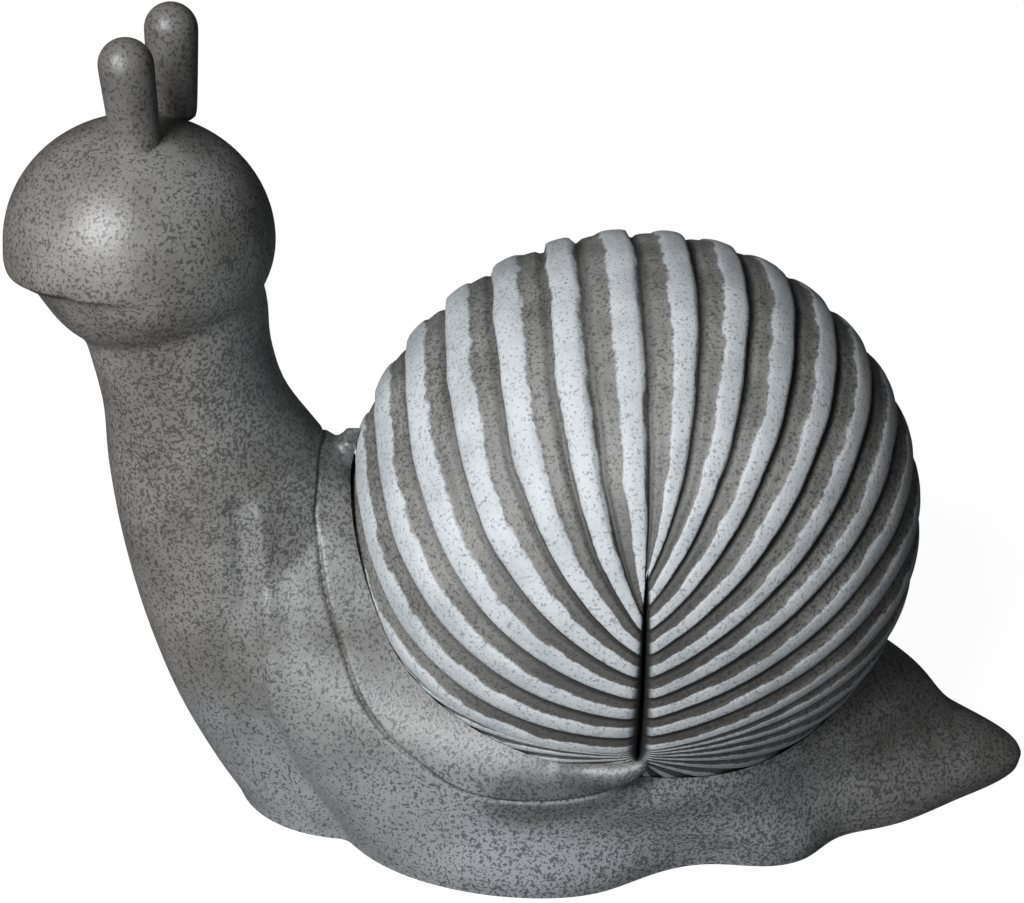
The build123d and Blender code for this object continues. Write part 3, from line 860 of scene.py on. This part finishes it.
# Finishes of the pieces inside and below
plainForms = {
    "baseStone": {"dark": (0.16, 0.155, 0.145), "light": (0.27, 0.26, 0.245), "scale": 40,
                  "rough": (0.7, 0.85), "metallic": 0.0},
    "plugRubber": {"dark": (0.02, 0.02, 0.02), "light": (0.04, 0.04, 0.04), "scale": 60,
                   "rough": (0.55, 0.7), "metallic": 0.0},
    "pinSteel": {"dark": (0.5, 0.5, 0.51), "light": (0.62, 0.62, 0.63), "scale": 80,
                 "rough": (0.25, 0.4), "metallic": 1.0},
}
plainGrain = {
    "cloud": (5.0, 0.6), "fine": (3.0, 0.6), "fineness": 9, "spread": (0.3, 0.7),
    "bump": 0.3, "bumpDepth": 0.0006,
}


def plainFinish(name):
    f, grain = plainForms[name], plainGrain
    m, s, p = newMaterial(name)
    at = s.node("ShaderNodeTexCoord").outputs["Object"]
    cloud = s.noise(at, f["scale"], *grain["cloud"])
    fine = s.noise(at, f["scale"] * grain["fineness"], *grain["fine"])
    base = s.mix(s.span(cloud, *grain["spread"]), colour(f["dark"]), colour(f["light"]))
    s.feed(p.inputs["Base Color"], base)
    s.feed(p.inputs["Roughness"], s.span(fine, *grain["spread"], *f["rough"]))
    s.feed(p.inputs["Normal"], s.bump(fine, grain["bump"], grain["bumpDepth"]))
    p.inputs["Metallic"].default_value = f["metallic"]
    return m


# Camera at the photograph's viewing angle
cameraForm = {
    "azimuth": -1.5, "elevation": 28.5, "distance": 0.900, "target": (-0.0476, 0.0, 0.152),
    "lens": 81.14, "sensor": 36,
}


def buildCamera():
    f = cameraForm
    azimuth, elevation = math.radians(f["azimuth"]), math.radians(f["elevation"])
    level = math.cos(elevation)
    back = Vector((math.sin(azimuth) * level, -math.cos(azimuth) * level, math.sin(elevation)))
    camera = newObject("camera", bpy.data.cameras.new("camera"))
    camera.location = Vector(f["target"]) + back * f["distance"]
    camera.rotation_euler = back.to_track_quat("Z", "Y").to_euler()
    camera.data.sensor_width = f["sensor"]
    camera.data.lens = f["lens"]
    bpy.context.scene.camera = camera


# Studio: a soft light high on the left, a weak one low in front, a pale floor and a white backdrop
lightForms = {
    "keyLight": {"place": (-0.82, -1.05, 1.12), "target": (-0.05, 0, 0.15), "size": 0.80, "power": 33},
    "lowLight": {"place": (-0.60, -1.45, 0.40), "target": (-0.05, 0, 0.10), "size": 0.50, "power": 5},
}
studioForm = {
    "lightColour": (0.955, 0.98, 1.0), "floorSize": 12, "floorColour": (0.10, 0.10, 0.10), "floorRough": 0.9,
    "floorGlow": 0.97, "skyColour": (0.95, 0.97, 1.0), "skyStrength": 0.05, "white": (1, 1, 1),
}


def buildLight(name):
    f = lightForms[name]
    light = bpy.data.lights.new(name, "AREA")
    light.shape = "RECTANGLE"
    light.size = light.size_y = f["size"]
    light.energy = f["power"]
    light.color = studioForm["lightColour"]
    o = newObject(name, light)
    o.location = f["place"]
    o.rotation_euler = (Vector(f["place"]) - Vector(f["target"])).to_track_quat("Z", "Y").to_euler()


def buildFloor():
    # the glow is seen by the camera only, so that the floor is white and keeps the object's shadow
    f = studioForm
    deselectAll()
    bpy.ops.mesh.primitive_plane_add(size=f["floorSize"])
    floor = bpy.context.active_object
    floor.name = "floor"
    m, s, p = newMaterial("floorPaper")
    p.inputs["Base Color"].default_value = colour(f["floorColour"])
    p.inputs["Roughness"].default_value = f["floorRough"]
    seen = s.node("ShaderNodeLightPath").outputs["Is Camera Ray"]
    strength = s.times(seen, f["floorGlow"])
    glow = s.node("ShaderNodeEmission", {"Color": colour(f["white"]), "Strength": strength})
    added = s.node("ShaderNodeAddShader", {0: p.outputs[0], 1: glow.outputs[0]})
    surface = next(n for n in s.tree.nodes if n.bl_idname == "ShaderNodeOutputMaterial")
    s.feed(surface.inputs[0], added.outputs[0])
    setMaterial(floor, m)


def buildBackdrop():
    f = studioForm
    world = bpy.data.worlds.new("studio")
    world.use_nodes = True
    world.node_tree.nodes.clear()
    bpy.context.scene.world = world
    s = Shader(world.node_tree)
    path = s.node("ShaderNodeLightPath")
    lit = s.node("ShaderNodeBackground", {"Color": colour(f["skyColour"]), "Strength": f["skyStrength"]})
    seen = s.node("ShaderNodeBackground", {"Color": colour(f["white"]), "Strength": 1.0})
    choose = {0: path.outputs["Is Camera Ray"], 1: lit.outputs[0], 2: seen.outputs[0]}
    s.node("ShaderNodeOutputWorld", {"Surface": s.node("ShaderNodeMixShader", choose).outputs[0]})


# Build
body = buildBody()
print("body done", len(body.data.polygons))
shell = buildShell()
print("shell done", len(shell.data.polygons))
stalkRight = buildStalk("stalkRight", -1)
stalkLeft = buildStalk("stalkLeft", 1)
print("stalks done", len(stalkRight.data.polygons))

grain = grainGroup()
stone = speckledStone(grain)
banded = bandedStone(grain)
for o, node, slot, finish in (
    (body, "body", "speckled_stone", stone), (shell, "shell", "banded_stone", banded),
    (stalkRight, "eye_stalk_right", "speckled_stone", stone),
    (stalkLeft, "eye_stalk_left", "speckled_stone", stone),
):
    setMaterial(o, finish)
    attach(o, "root")
    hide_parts(node)

finishes = {name: plainFinish(name) for name in plainForms}
for node, finish in (("base_plate", "baseStone"), ("base_plug", "plugRubber"),
                     ("stalk_pins", "pinSteel"), ("shell_dowels", "pinSteel")):
    setMaterial(nodes[node], finishes[finish])
print("finishes done")

buildCamera()
for name in lightForms:
    buildLight(name)
buildFloor()
buildBackdrop()
bpy.context.scene.view_settings.view_transform = "Standard"
print("studio done")
